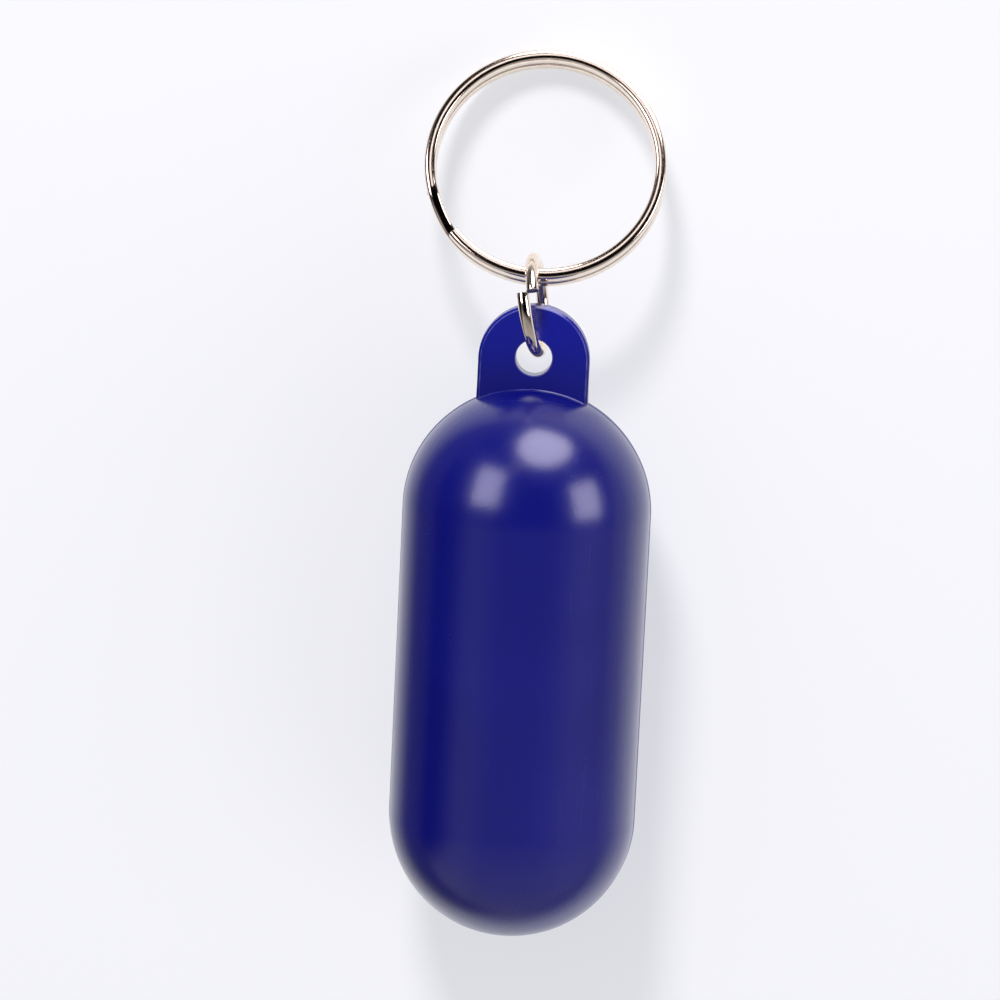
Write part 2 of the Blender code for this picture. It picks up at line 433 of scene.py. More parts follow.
@dataclass(frozen=True)
class NickelPlate:
    """Bright nickel plate on steel wire, drawn lengthwise, with raw steel at the sheared ends."""

    name: str
    colour: Colour = (0.98, 0.87, 0.74, 1.0)
    tarnish: Colour = (0.7, 0.54, 0.42, 1.0)
    raw_steel: Colour = (0.42, 0.38, 0.35, 1.0)
    roughness: float = 0.1
    pit_roughness: float = 0.3
    line_roughness: float = 0.12
    cut_roughness: float = 0.3
    cut_depth: float = 0.08 * MM
    grain_scale: float = 4200.0
    grain_depth: float = 0.0008 * MM
    pit_share: float = 0.6
    line_scale: float = 7000.0
    line_depth: float = 0.0012 * MM
    line_share: float = 0.8
    line_shortening: float = 0.03
    tarnish_amount: float = 0.28
    tarnish_scale: float = 1200.0

    def build(self, effects: SurfaceEffects) -> bpy.types.Material:
        """Build the material.

        Args:
            effects: The shader groups to place in it.

        Returns:
            The material, which reads the wire's own attributes.
        """
        material, sheet = new_material(self.name)
        place = sheet.add("ShaderNodeTexCoord").outputs["Object"]
        along = sheet.add("ShaderNodeAttribute", attribute_name="wire_along").outputs["Fac"]
        around = sheet.add("ShaderNodeAttribute", attribute_name="wire_around").outputs["Vector"]
        from_end = sheet.add("ShaderNodeAttribute", attribute_name="wire_from_end").outputs["Fac"]
        shortened = sheet.math("MULTIPLY", along, self.line_shortening)
        drawn = sheet.add("ShaderNodeCombineXYZ", {"Z": shortened}).outputs[0]
        drawn = sheet.vector_math("ADD", drawn, around)

        graining = {"Vector": place, "Scale": self.grain_scale, "Pit Share": self.pit_share}
        grain = use_group(sheet, effects.grain, graining)
        lining = {"Vector": drawn, "Scale": self.line_scale, "Share": self.line_share}
        lines = use_group(sheet, effects.hairlines, lining)
        cut = Fade(self.cut_depth / 2, self.cut_depth, 1.0, 0.0).along(sheet, from_end)
        dulling = {"Vector": place, "Edge": 1.0, "Amount": self.tarnish_amount, "Scale": self.tarnish_scale}
        wear = use_group(sheet, effects.wear, dulling)

        colour = sheet.blend(wear.outputs["Mask"], self.colour, self.tarnish)
        colour = sheet.blend(grain.outputs["Pits"], colour, self.tarnish)
        colour = sheet.blend(cut, colour, self.raw_steel)
        rough = sheet.math("MULTIPLY_ADD", grain.outputs["Pits"], self.pit_roughness, self.roughness)
        rough = sheet.math("MULTIPLY_ADD", lines.outputs["Mask"], self.line_roughness, rough)
        rough = sheet.math("MULTIPLY_ADD", cut, self.cut_roughness, rough)

        marks = {"Height": lines.outputs["Height"], "Distance": self.line_depth}
        drawing = sheet.add("ShaderNodeBump", marks).outputs[0]
        fine = {"Height": grain.outputs["Height"], "Distance": self.grain_depth, "Normal": drawing}
        grained = sheet.add("ShaderNodeBump", fine)
        shader = sheet.add(
            "ShaderNodeBsdfPrincipled",
            {"Base Color": colour, "Roughness": rough, "Metallic": 1.0, "Normal": grained.outputs[0]},
        )
        sheet.add("ShaderNodeOutputMaterial", {"Surface": shader.outputs[0]})
        return material


class Skin:
    """A smooth closed surface gathered from grids of points that know which way they face."""

    WELD = 0.5e-3 * MM

    def __init__(self) -> None:
        """Start with no points."""
        self.places: list[np.ndarray] = []
        self.facings: list[np.ndarray] = []
        self.edges: list[np.ndarray] = []
        self.tab_lights: list[np.ndarray] = []
        self.faces: list[tuple[int, ...]] = []
        self.count = 0

    def add_grid(
        self, places: np.ndarray, facings: np.ndarray, edge: Any = 0.0, tab_light: Any = 0.0, wraps: bool = False
    ) -> None:
        """Add a grid of points as four-sided faces that look the way the points face.

        Args:
            places: Points by row and column, in metres.
            facings: The surface's direction at each point.
            edge: How much of an edge each point is on, from 0 to 1.
            tab_light: Painted light at each point, from 0 to 1, which lightens the tab towards its tip.
            wraps: Whether the last column joins the first.
        """
        rows, columns = places.shape[:2]
        facings = facings / np.linalg.norm(facings, axis=-1, keepdims=True)
        last = columns if wraps else columns - 1
        across = np.roll(places, -1, axis=1)[:-1, :last] - places[:-1, :last]
        down = places[1:, :last] - places[:-1, :last]
        looks = np.sum(np.cross(across, down) * facings[:-1, :last])
        numbers = np.arange(rows * columns).reshape(rows, columns) + self.count
        for upper, lower in zip(numbers[:-1], numbers[1:]):
            for column in range(last):
                beside = (column + 1) % columns
                face = (upper[column], upper[beside], lower[beside], lower[column])
                self.faces.append(tuple(int(n) for n in (face if looks > 0 else reversed(face))))
        self.places.append(places.reshape(-1, 3))
        self.facings.append(facings.reshape(-1, 3))
        self.edges.append(np.broadcast_to(edge, (rows, columns)).reshape(-1))
        self.tab_lights.append(np.broadcast_to(tab_light, (rows, columns)).reshape(-1))
        self.count += rows * columns

    def to_mesh(self, name: str) -> bpy.types.Mesh:
        """Weld the grids into one mesh with their own smooth shading.

        Args:
            name: The mesh's name.

        Returns:
            The mesh, with its edge attribute and the attribute of painted light on the tab.
        """
        mesh = bpy.data.meshes.new(name)
        mesh.from_pydata(np.concatenate(self.places).tolist(), [], self.faces)
        facing = mesh.attributes.new("facing", "FLOAT_VECTOR", "POINT")
        facing.data.foreach_set("vector", np.concatenate(self.facings).astype(np.float32).ravel())
        for mask, values in (("edge", self.edges), ("tab_light", self.tab_lights)):
            layer = mesh.attributes.new(mask, "FLOAT", "POINT")
            layer.data.foreach_set("value", np.concatenate(values).astype(np.float32))
        shape = bmesh.new()
        shape.from_mesh(mesh)
        bmesh.ops.remove_doubles(shape, verts=shape.verts, dist=self.WELD)
        shape.to_mesh(mesh)
        shape.free()
        mesh.shade_smooth()
        facings = np.zeros(len(mesh.vertices) * 3, np.float32)
        mesh.attributes["facing"].data.foreach_get("vector", facings)
        mesh.normals_split_custom_set_from_vertices(facings.reshape(-1, 3).tolist())
        mesh.attributes.remove(mesh.attributes["facing"])
        return mesh


def turn_between(first: np.ndarray, second: np.ndarray, share: np.ndarray) -> np.ndarray:
    """Turn unit directions evenly from one to another.

    Args:
        first: Directions at share 0, by column.
        second: Directions at share 1, by column.
        share: Shares, by row.

    Returns:
        Directions by row and column.
    """
    angle = np.arccos(np.clip(np.sum(first * second, axis=-1, keepdims=True), -1.0, 1.0))
    share = share[:, None, None]
    return (np.sin((1 - share) * angle) * first + np.sin(share * angle) * second) / np.sin(angle)


@dataclass
class FloatBody:
    """The float: a capsule with its eye tab, one moulding with a parting line all round."""

    radius: float = 15.0 * MM
    straight: float = 38.0 * MM
    ridge_height: float = 0.08 * MM
    ridge_spread: float = 0.11 * MM
    ridge_drop_from: float = 13.0 * MM
    ridge_drop_length: float = 3.0 * MM
    ridge_drop: float = 0.5
    ridge_wear: float = 0.5
    tab_radius: float = 6.7 * MM
    tab_reach: float = 10.2 * MM
    tab_half_thickness: float = 1.3 * MM
    tab_edge_round: float = 0.12 * MM
    tab_chamfer: float = 0.34 * MM
    chamfer_middle: float = 0.6
    # Share of the tab's reach over which its painted light fades in from the root.
    tab_light_fade_share: float = 0.8
    wall_corner_round: float = 0.05 * MM
    hole_radius: float = 2.2 * MM
    hole_edge_round: float = 0.16 * MM
    root_fillet: float = 0.2 * MM
    root_spread: float = 1.6
    arc_steps: int = 64
    round_steps: int = 6
    corner_steps: int = 3
    wall_steps: int = 8
    edge_steps: int = 6
    face_steps: int = 8
    face_crowding: float = 1.5
    dome_steps: int = 44
    side_steps: int = 32
    end_steps: int = 96
    finish: FloatPlastic = field(default_factory=FloatPlastic)

    def __post_init__(self) -> None:
        """Find the float's place in the frame and the sizes that follow from its own."""
        hole = joint_place("jump_ring_swing")
        _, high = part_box("float_body")
        self.tip = self.radius + self.tab_reach
        self.centre = np.array([0.0, high.y - self.tip, hole.z])
        self.hole_y = hole.y - self.centre[1]
        self.face_half_width = self.tab_radius - self.rim_section()[0, 0]

    def raise_ridge(
        self, places: np.ndarray, facings: np.ndarray
    ) -> tuple[np.ndarray, np.ndarray, np.ndarray]:
        """Lift the parting line out of a stretch of surface, lower on the tab than on the capsule.

        Args:
            places: Points on the plain surface.
            facings: Its unit directions.

        Returns:
            The points, the directions and how much of an edge each point is on.
        """
        height = places[..., 2]
        dropped = smooth_step((places[..., 1] - self.ridge_drop_from) / self.ridge_drop_length)
        share = 1.0 - self.ridge_drop * dropped
        lift = self.ridge_height * share * np.exp(-((height / self.ridge_spread) ** 2))
        slope = -2.0 * height / self.ridge_spread**2 * lift
        up = np.array([0.0, 0.0, 1.0]) - facings * facings[..., 2:3]
        turned = facings - slope[..., None] * up
        turned /= np.linalg.norm(turned, axis=-1, keepdims=True)
        return places + facings * lift[..., None], turned, lift / self.ridge_height

    def rim_section(self) -> np.ndarray:
        """Section across the tab's rim, from its front face to its back face.

        Both edges of the rim are broken by a chamfer with rounded corners.

        Returns:
            For each point its inset from the outline, its height, and how far it faces out and up.
        """
        face_round, wall_round = self.tab_edge_round, self.wall_corner_round
        corner_y = self.tab_half_thickness - self.tab_chamfer
        rows = []
        for turn in np.linspace(pi / 2, pi / 4, self.round_steps + 1):
            inset = self.tab_chamfer + face_round * (tan(pi / 8) - cos(turn))
            height = self.tab_half_thickness + face_round * (sin(turn) - 1)
            rows.append((inset, height, cos(turn), sin(turn)))
        step = self.tab_chamfer * self.chamfer_middle
        rows.append((step, corner_y + step, cos(pi / 4), sin(pi / 4)))
        for turn in np.linspace(pi / 4, 0.0, self.corner_steps + 1):
            height = corner_y + wall_round * (sin(turn) - tan(pi / 8))
            rows.append((wall_round * (1 - cos(turn)), height, cos(turn), sin(turn)))
        wall = rows[-1][1]
        for share in np.linspace(1.0, 0.0, self.wall_steps + 1)[1:-1] ** 2:
            rows.append((0.0, wall * share, 1.0, 0.0))
        back = [(inset, -height, out, -up) for inset, height, out, up in reversed(rows)]
        return np.array([*rows, (0.0, 0.0, 1.0, 0.0), *back])

    def root_ring(self) -> tuple[np.ndarray, np.ndarray, np.ndarray]:
        """Section of the tab where it meets the dome, front face first, then its left, back and right.

        Returns:
            Each point as (x, z), the way it faces, and the angle on the capsule that it leads to.
        """
        section = self.rim_section()
        side = np.stack([self.tab_radius - section[:, 0], section[:, 1]], axis=1)
        side_facing = section[:, 2:]
        wall = section[self.round_steps + self.corner_steps + 2, 1]
        wall_angle = asin(wall / self.radius)
        corner = self.root_spread * self.tab_chamfer / self.radius
        rounded = np.arcsin(np.abs(side_facing[:, 1])) / (pi / 2)
        side_angle = np.arcsin(np.clip(side[:, 1], -wall, wall) / self.radius)
        side_angle += corner * np.sign(side[:, 1]) * rounded
        corner_angle = wall_angle + corner
        across = np.linspace(1.0, -1.0, self.arc_steps + 1)[1:-1]
        level = np.full_like(across, self.tab_half_thickness)
        face = np.stack([self.face_half_width * across, level], axis=1)
        face_facing = np.tile([0.0, 1.0], (len(across), 1))
        face_angle = corner_angle + (pi - 2 * corner_angle) * (1 - across) / 2
        mirrored = np.array([-1.0, 1.0])
        points = np.concatenate([face, side * mirrored, -face, side[::-1]])
        facings = np.concatenate([face_facing, side_facing * mirrored, -face_facing, side_facing[::-1]])
        angles = np.concatenate([face_angle, pi - side_angle, face_angle + pi, side_angle[::-1] + tau])
        return points, facings, angles

    def fillet_centres(self, points: np.ndarray, facings: np.ndarray) -> np.ndarray:
        """Roll a ball round the tab's root, where it touches both the tab and the dome.

        Args:
            points: The tab's section at its root, as (x, z).
            facings: The way that each of its points faces.

        Returns:
            The ball's centre for each point.
        """
        flat = points + self.root_fillet * facings
        reach = (self.radius + self.root_fillet) ** 2 - np.sum(flat**2, axis=1)
        return np.stack([flat[:, 0], np.sqrt(reach), flat[:, 1]], axis=1)

    def painted_tab_light(self, places: np.ndarray) -> np.ndarray:
        """Return the painted light at each point: none at the tab's root, which keeps painted shade, and
        full at its tip, standing in for light through the tab.
        """
        return smooth_step((places[..., 1] - self.radius) / (self.tab_reach * self.tab_light_fade_share))

    def add_rim(self, skin: Skin) -> np.ndarray:
        """Add the tab's rim, from its right root round the end to its left root.

        Args:
            skin: The surface to add it to.

        Returns:
            The rim's points, by place round the outline and across the section.
        """
        section = self.rim_section()
        out, up = section[:, 2], section[:, 3]
        side = np.stack([self.tab_radius - section[:, 0], section[:, 1]], axis=1)
        root = self.fillet_centres(side, section[:, 2:])[:, 1]
        end_y = self.tip - self.tab_radius
        rows = []
        for share in np.linspace(0.0, 1.0, self.edge_steps + 1)[:-1]:
            spot = np.stack([side[:, 0], root + (end_y - root) * share, side[:, 1]], axis=1)
            rows.append((spot, (1.0, 0.0)))
        for angle in np.linspace(0.0, pi, self.arc_steps + 1):
            spot = np.stack([side[:, 0] * cos(angle), end_y + side[:, 0] * sin(angle), side[:, 1]], axis=1)
            rows.append((spot, (cos(angle), sin(angle))))
        for spot, _ in reversed(rows[: self.edge_steps]):
            rows.append((spot * [-1.0, 1.0, 1.0], (-1.0, 0.0)))
        places = np.stack([row[0] for row in rows])
        facings = np.stack([np.stack([out * way[0], out * way[1], up], axis=1) for _, way in rows])
        raised, turned, edge = self.raise_ridge(places, facings)
        # Mask of the rim's front and back edge rounding: rubbed wear and a painted highlight line.
        rub_and_glint_edge = np.zeros(len(section))
        rub_and_glint_edge[1 : self.round_steps + 1] = np.linspace(0.5, 1.0, self.round_steps)
        rub_and_glint_edge = np.maximum(rub_and_glint_edge, rub_and_glint_edge[::-1])
        edge = np.maximum(edge * self.ridge_wear, rub_and_glint_edge[None, :])
        skin.add_grid(raised + self.centre, turned, edge, self.painted_tab_light(places))
        return places

    def add_faces(self, skin: Skin, rim: np.ndarray, points: np.ndarray, centres: np.ndarray) -> None:
        """Add the tab's two faces and the hole through them.

        Args:
            skin: The surface to add them to.
            rim: The rim's points.
            points: The root's section.
            centres: The fillet's ball centres round the root.
        """
        root = np.stack([points[:, 0], centres[:, 1], points[:, 1]], axis=1)[: self.arc_steps - 1]
        loop = np.concatenate([rim[:, 0], root[::-1]])
        middle = np.array([0.0, self.hole_y])
        ways = loop[:, :2] - middle
        ways /= np.linalg.norm(ways, axis=1, keepdims=True)
        mouth = middle + ways * (self.hole_radius + self.hole_edge_round)
        rows = []
        for share in np.linspace(0.0, 1.0, self.face_steps + 1) ** self.face_crowding:
            flat = mouth + (loop[:, :2] - mouth) * share
            rows.append(np.concatenate([flat, np.full((len(loop), 1), self.tab_half_thickness)], axis=1))
        face = np.stack(rows)
        ahead = np.broadcast_to([0.0, 0.0, 1.0], face.shape)
        flipped = np.array([1.0, 1.0, -1.0])
        tab_light = self.painted_tab_light(face)
        skin.add_grid(face + self.centre, ahead, 0.0, tab_light, wraps=True)
        skin.add_grid(face * flipped + self.centre, ahead * flipped, 0.0, tab_light, wraps=True)

        walls, facings, edges = [], [], []
        depth = self.tab_half_thickness - self.hole_edge_round
        for step in range(self.round_steps + 1):
            turn = pi / 2 * step / self.round_steps
            reach = self.hole_radius + self.hole_edge_round * (1 - sin(turn))
            level = depth + self.hole_edge_round * cos(turn)
            walls.append(np.column_stack([middle + ways * reach, np.full(len(ways), level)]))
            facings.append(np.column_stack([-ways * sin(turn), np.full(len(ways), cos(turn))]))
            # The hole's mouth is rubbed, and also carries a painted highlight.
            edges.append(np.full(len(ways), sin(2 * turn) ** 2))
        for wall, facing, edge in list(zip(walls, facings, edges))[::-1]:
            walls.append(wall * flipped)
            facings.append(facing * flipped)
            edges.append(edge)
        wall = np.stack(walls)
        tab_light = self.painted_tab_light(wall)
        skin.add_grid(wall + self.centre, np.stack(facings), np.stack(edges), tab_light, wraps=True)

    def add_capsule(self, skin: Skin, facings: np.ndarray, angles: np.ndarray, centres: np.ndarray) -> None:
        """Add the fillet at the tab's root, the dome under it, the straight side and the far dome.

        Args:
            skin: The surface to add them to.
            facings: The way that the tab's section faces round its root.
            angles: The angle on the capsule that each point of the root leads to.
            centres: The fillet's ball centres round the root.
        """
        tab_way = np.stack([facings[:, 0], np.zeros(len(facings)), facings[:, 1]], axis=1)
        dome_way = centres / np.linalg.norm(centres, axis=1, keepdims=True)
        ways = turn_between(-tab_way, -dome_way, np.linspace(0.0, 1.0, self.round_steps + 1))
        self.add_ridged(skin, centres + ways * self.root_fillet, -ways)

        side_way = np.stack([np.cos(angles), np.zeros(len(angles)), np.sin(angles)], axis=1)
        ways = turn_between(dome_way, side_way, np.linspace(0.0, 1.0, self.dome_steps + 1))
        self.add_ridged(skin, ways * self.radius, ways)

        drops = np.linspace(0.0, self.straight, self.side_steps + 1)[:, None, None]
        drops = drops * np.array([0.0, -1.0, 0.0])
        ways = np.broadcast_to(side_way, (len(drops), *side_way.shape))
        self.add_ridged(skin, ways * self.radius + drops, ways)

        right = np.sort(angles[np.cos(angles) > 1e-9] % tau)
        right = np.concatenate([[-pi / 2], right[right > pi] - tau, right[right < pi], [pi / 2]])
        turn = np.linspace(0.0, pi, self.end_steps + 1)
        level = np.cos(right)[:, None]
        height = np.broadcast_to(np.sin(right)[:, None], (len(right), len(turn)))
        ways = np.stack([level * np.cos(turn), -level * np.sin(turn), height], axis=-1)
        self.add_ridged(skin, ways * self.radius - [0.0, self.straight, 0.0], ways, wraps=False)

    def add_ridged(self, skin: Skin, places: np.ndarray, facings: np.ndarray, wraps: bool = True) -> None:
        """Add a grid of points with the parting line raised out of it."""
        raised, turned, edge = self.raise_ridge(places, facings)
        skin.add_grid(raised + self.centre, turned, edge * self.ridge_wear, wraps=wraps)

    def build(self, effects: SurfaceEffects) -> bpy.types.Object:
        """Build and dress the float, and put it on its body.

        Args:
            effects: The shader groups that its finish uses.

        Returns:
            The finished piece.
        """
        skin = Skin()
        points, facings, angles = self.root_ring()
        centres = self.fillet_centres(points, facings)
        rim = self.add_rim(skin)
        self.add_faces(skin, rim, points, centres)
        self.add_capsule(skin, facings, angles, centres)
        piece = new_object("float_moulding", skin.to_mesh("float_moulding"))
        piece.data.materials.append(self.finish.build(effects))
        seat(piece, Body.FLOAT, "float_body")
        return piece


def seat(piece: bpy.types.Object, body: Body, node: str) -> None:
    """Put a finished piece on its body, in place of its CAD node, and report it.

    Args:
        piece: The piece, with its place in its mesh.
        body: The body that it rides on.
        node: The CAD node that it stands for.
    """
    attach(piece, body.value)
    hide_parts(node)
    LOG.info("%s: %d faces, rides on %s", piece.name, len(piece.data.polygons), body.value)


class WoundWire:
    """Geometry Nodes tree that winds a wire into a ring of one or more turns.

    The ring's axis is Z before it is placed. The wire's section is a rounded oval, and its two cut
    ends are drawn in a little, as a shear leaves them.
    """

    INPUTS: dict[str, tuple[str, Any]] = {
        "Coil Radius": ("NodeSocketFloat", 0.01),
        "Start Angle": ("NodeSocketFloat", 0.0),
        "Turned Angle": ("NodeSocketFloat", tau),
        "Pitch": ("NodeSocketFloat", 0.002),
        "Step From": ("NodeSocketFloat", 0.0),
        "Step To": ("NodeSocketFloat", tau),
        "Level Turns": ("NodeSocketBool", True),
        "Wire Width": ("NodeSocketFloat", 0.0015),
        "Wire Height": ("NodeSocketFloat", 0.0015),
        "Squareness": ("NodeSocketFloat", 2.0),
        "End Round": ("NodeSocketFloat", 0.0002),
        "Steps": ("NodeSocketInt", 200),
        "Sides": ("NodeSocketInt", 24),
        "Centre": ("NodeSocketVector", None),
        "Rotation": ("NodeSocketRotation", None),
        "Finish": ("NodeSocketMaterial", None),
    }
    END_CROWDING = 0.93
    END_DRAWN_IN = 0.16
    AROUND_SIZE = 0.75 * MM
    SHARP_ANGLE = radians(40.0)

    def __init__(self) -> None:
        """Build the tree once, for every ring to use."""
        self.tree = bpy.data.node_groups.new("wound_wire", "GeometryNodeTree")
        group_sockets(self.tree, self.INPUTS, {"Geometry": "NodeSocketGeometry"})
        sheet = NodeSheet(self.tree)
        given = sheet.add("NodeGroupInput").outputs
        angle, path = self.centreline(sheet, given)
        profile = self.section(sheet, given)
        length = sheet.math("MULTIPLY", angle, given["Coil Radius"])
        left = sheet.math("SUBTRACT", given["Turned Angle"], angle)
        from_end = sheet.math("MULTIPLY", sheet.math("MINIMUM", angle, left), given["Coil Radius"])
        path = self.store(sheet, path, "wire_along", "FLOAT", length)
        path = self.store(sheet, path, "wire_from_end", "FLOAT", from_end)
        lost = sheet.math("DIVIDE", from_end, given["End Round"])
        lost = sheet.math("SUBTRACT", 1.0, sheet.math("MINIMUM", lost, 1.0))
        lost = sheet.math("MULTIPLY", sheet.math("POWER", lost, 2.0), self.END_DRAWN_IN)
        drawn_in = sheet.math("SUBTRACT", 1.0, lost)
        path = sheet.add("GeometryNodeSetCurveRadius", {"Curve": path, "Radius": drawn_in}).outputs[0]
        swept = {"Curve": path, "Profile Curve": profile, "Fill Caps": True}
        wire = sheet.add("GeometryNodeCurveToMesh", swept)
        smooth = sheet.add("GeometryNodeSetShadeSmooth", {"Geometry": wire.outputs[0]})
        placing = {"Translation": given["Centre"], "Rotation": given["Rotation"]}
        placed = sheet.add("GeometryNodeTransform", {"Geometry": smooth.outputs[0]} | placing)
        real = sheet.add("GeometryNodeRealizeInstances", {"Geometry": placed.outputs[0]})
        finishing = {"Geometry": real.outputs[0], "Material": given["Finish"]}
        dressed = sheet.add("GeometryNodeSetMaterial", finishing)
        sheet.add("NodeGroupOutput", {"Geometry": dressed.outputs[0]})

    def centreline(self, sheet: NodeSheet, given: Any) -> tuple[Socket, Socket]:
        """Add the nodes of the wire's centreline, with its points crowded towards the cut ends.

        Args:
            sheet: The tree's sheet.
            given: The tree's named inputs.

        Returns:
            The angle wound so far, and the curve.
        """
        line = sheet.add("GeometryNodeCurvePrimitiveLine")
        points = sheet.add("GeometryNodeResampleCurve", {"Curve": line.outputs[0], "Count": given["Steps"]})
        share = sheet.add("GeometryNodeSplineParameter").outputs["Factor"]
        swing = sheet.math("SINE", sheet.math("MULTIPLY", share, tau))
        share = sheet.math("SUBTRACT", share, sheet.math("MULTIPLY", swing, self.END_CROWDING / tau))
        angle = sheet.math("MULTIPLY", share, given["Turned Angle"])
        place = sheet.math("ADD", angle, given["Start Angle"])
        even = {"Value": angle, "From Min": given["Step From"], "From Max": given["Step To"]}
        helix = sheet.add("ShaderNodeMapRange", even)
        level = sheet.add("ShaderNodeMapRange", even, interpolation_type="SMOOTHSTEP")
        chosen = sheet.add(
            "GeometryNodeSwitch",
            {"Switch": given["Level Turns"], "False": helix.outputs[0], "True": level.outputs[0]},
            input_type="FLOAT",
        )
        height = sheet.math("MULTIPLY", sheet.math("SUBTRACT", 0.5, chosen.outputs[0]), given["Pitch"])
        x = sheet.math("MULTIPLY", sheet.math("COSINE", place), given["Coil Radius"])
        y = sheet.math("MULTIPLY", sheet.math("SINE", place), given["Coil Radius"])
        spot = sheet.add("ShaderNodeCombineXYZ", {"X": x, "Y": y, "Z": height})
        kept = sheet.add("GeometryNodeCaptureAttribute", {"Geometry": points.outputs[0]})
        kept.capture_items.new("FLOAT", "Angle")
        sheet.feed(kept, "Angle", angle)
        moving = {"Geometry": kept.outputs[0], "Position": spot.outputs[0]}
        moved = sheet.add("GeometryNodeSetPosition", moving)
        upright = sheet.add("GeometryNodeSetCurveNormal", {"Curve": moved.outputs[0]})
        upright.mode = "Z_UP"
        return kept.outputs["Angle"], upright.outputs[0]

    @staticmethod
    def section(sheet: NodeSheet, given: Any) -> Socket:
        """Add the nodes of the wire's section, and return its curve.

        Args:
            sheet: The tree's sheet.
            given: The tree's named inputs.

        Returns:
            The section's curve.
        """
        round_section = {"Resolution": given["Sides"], "Radius": 1.0}
        circle = sheet.add("GeometryNodeCurvePrimitiveCircle", round_section)
        spot = sheet.add("GeometryNodeInputPosition").outputs[0]
        parts = sheet.add("ShaderNodeSeparateXYZ", {0: spot}).outputs
        power = sheet.math("DIVIDE", 2.0, given["Squareness"])
        sides = []
        for part, size in ((parts[0], given["Wire Width"]), (parts[1], given["Wire Height"])):
            reach = sheet.math("MULTIPLY", sheet.math("POWER", sheet.math("ABSOLUTE", part), power), size)
            signed = sheet.math("MULTIPLY", reach, sheet.math("SIGN", part))
            sides.append(sheet.math("MULTIPLY", signed, 0.5))
        flat = sheet.add("ShaderNodeCombineXYZ", {"X": sides[0], "Y": sides[1]}).outputs[0]
        around = sheet.vector_math("MULTIPLY", spot, (WoundWire.AROUND_SIZE,) * 3)
        named = WoundWire.store(sheet, circle.outputs[0], "wire_around", "FLOAT_VECTOR", around)
        return sheet.add("GeometryNodeSetPosition", {"Geometry": named, "Position": flat}).outputs[0]

    @staticmethod
    def store(sheet: NodeSheet, geometry: Any, name: str, kind: str, value: Any) -> Socket:
        """Keep a value on the wire's points under a name that its finish reads.

        Args:
            sheet: The tree's sheet.
            geometry: The geometry's output.
            name: The attribute's name.
            kind: The attribute's Blender type.
            value: The output that it keeps.

        Returns:
            The geometry with the attribute.
        """
        node = sheet.add("GeometryNodeStoreNamedAttribute", {"Geometry": geometry, "Name": name})
        node.data_type = kind
        node.domain = "POINT"
        sheet.feed(node, "Value", value)
        return node.outputs[0]

    def wind(self, name: str, sizes: dict[str, Any]) -> bpy.types.Object:
        """Wind a ring and return it as a plain mesh at the origin.

        Args:
            name: The piece's name.
            sizes: A value for each named input.

        Returns:
            The ring.
        """
        source = new_object(name + "_source", bpy.data.meshes.new(name + "_source"))
        winding = source.modifiers.new("winding", "NODES")
        winding.node_group = self.tree
        for item in self.tree.interface.items_tree:
            if item.in_out == "INPUT":
                winding[item.identifier] = sizes[item.name]
        bpy.context.view_layer.update()
        evaluated = source.evaluated_get(bpy.context.evaluated_depsgraph_get())
        mesh = bpy.data.meshes.new_from_object(evaluated)
        mesh.name = name
        source.modifiers.remove(winding)
        bpy.data.objects.remove(source)
        mesh.set_sharp_from_angle(angle=self.SHARP_ANGLE)
        return new_object(name, mesh)


@dataclass
class JumpRing:
    """The jump ring: one turn of round wire, twisted shut with its ends side by side."""

    outer_radius: float = 6.35 * MM
    wire: float = 1.5 * MM
    cut_angle: float = radians(155.0)
    end_shift: float = 1.2 * MM
    end_gap: float = 0.2 * MM
    end_round: float = 0.25 * MM
    lean: float = radians(5.0)
    turn: float = radians(10.0)
    steps: int = 320
    sides: int = 40
    finish: NickelPlate = field(default_factory=lambda: NickelPlate("jump_ring_nickel"))

    def build(self, effects: SurfaceEffects, winder: WoundWire) -> bpy.types.Object:
        """Build and dress the jump ring, and put it on its body.

        Args:
            effects: The shader groups that its finish uses.
            winder: The tree that winds it.

        Returns:
            The finished piece.
        """
        low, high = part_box("jump_ring")
        axis = joint_place("split_ring_flop")
        radius = self.outer_radius - self.wire / 2
        half_turn = pi - self.end_gap / 2 / radius
        rotation = Euler((0.0, -self.lean, self.turn)).to_matrix() @ Matrix.Rotation(pi / 2, 3, "Y")
        piece = winder.wind(
            "jump_ring_wire",
            {
                "Coil Radius": radius,
                "Start Angle": self.cut_angle - pi - half_turn,
                "Turned Angle": 2 * half_turn,
                "Pitch": -self.end_shift * half_turn / pi,
                "Step From": 0.0,
                "Step To": 2 * half_turn,
                "Level Turns": Spread.EVEN_HELIX.value,
                "Wire Width": self.wire,
                "Wire Height": self.wire,
                "Squareness": 2.0,
                "End Round": self.end_round,
                "Steps": self.steps,
                "Sides": self.sides,
                "Centre": axis,
                "Rotation": rotation.to_euler(),
                "Finish": self.finish.build(effects),
            },
        )
        wound = [vertex.co.x for vertex in piece.data.vertices]
        sideways = (low.x + high.x - min(wound) - max(wound)) / 2
        piece.data.transform(Matrix.Translation((sideways, 0.0, 0.0)))
        seat(piece, Body.JUMP_RING, "jump_ring")
        return piece


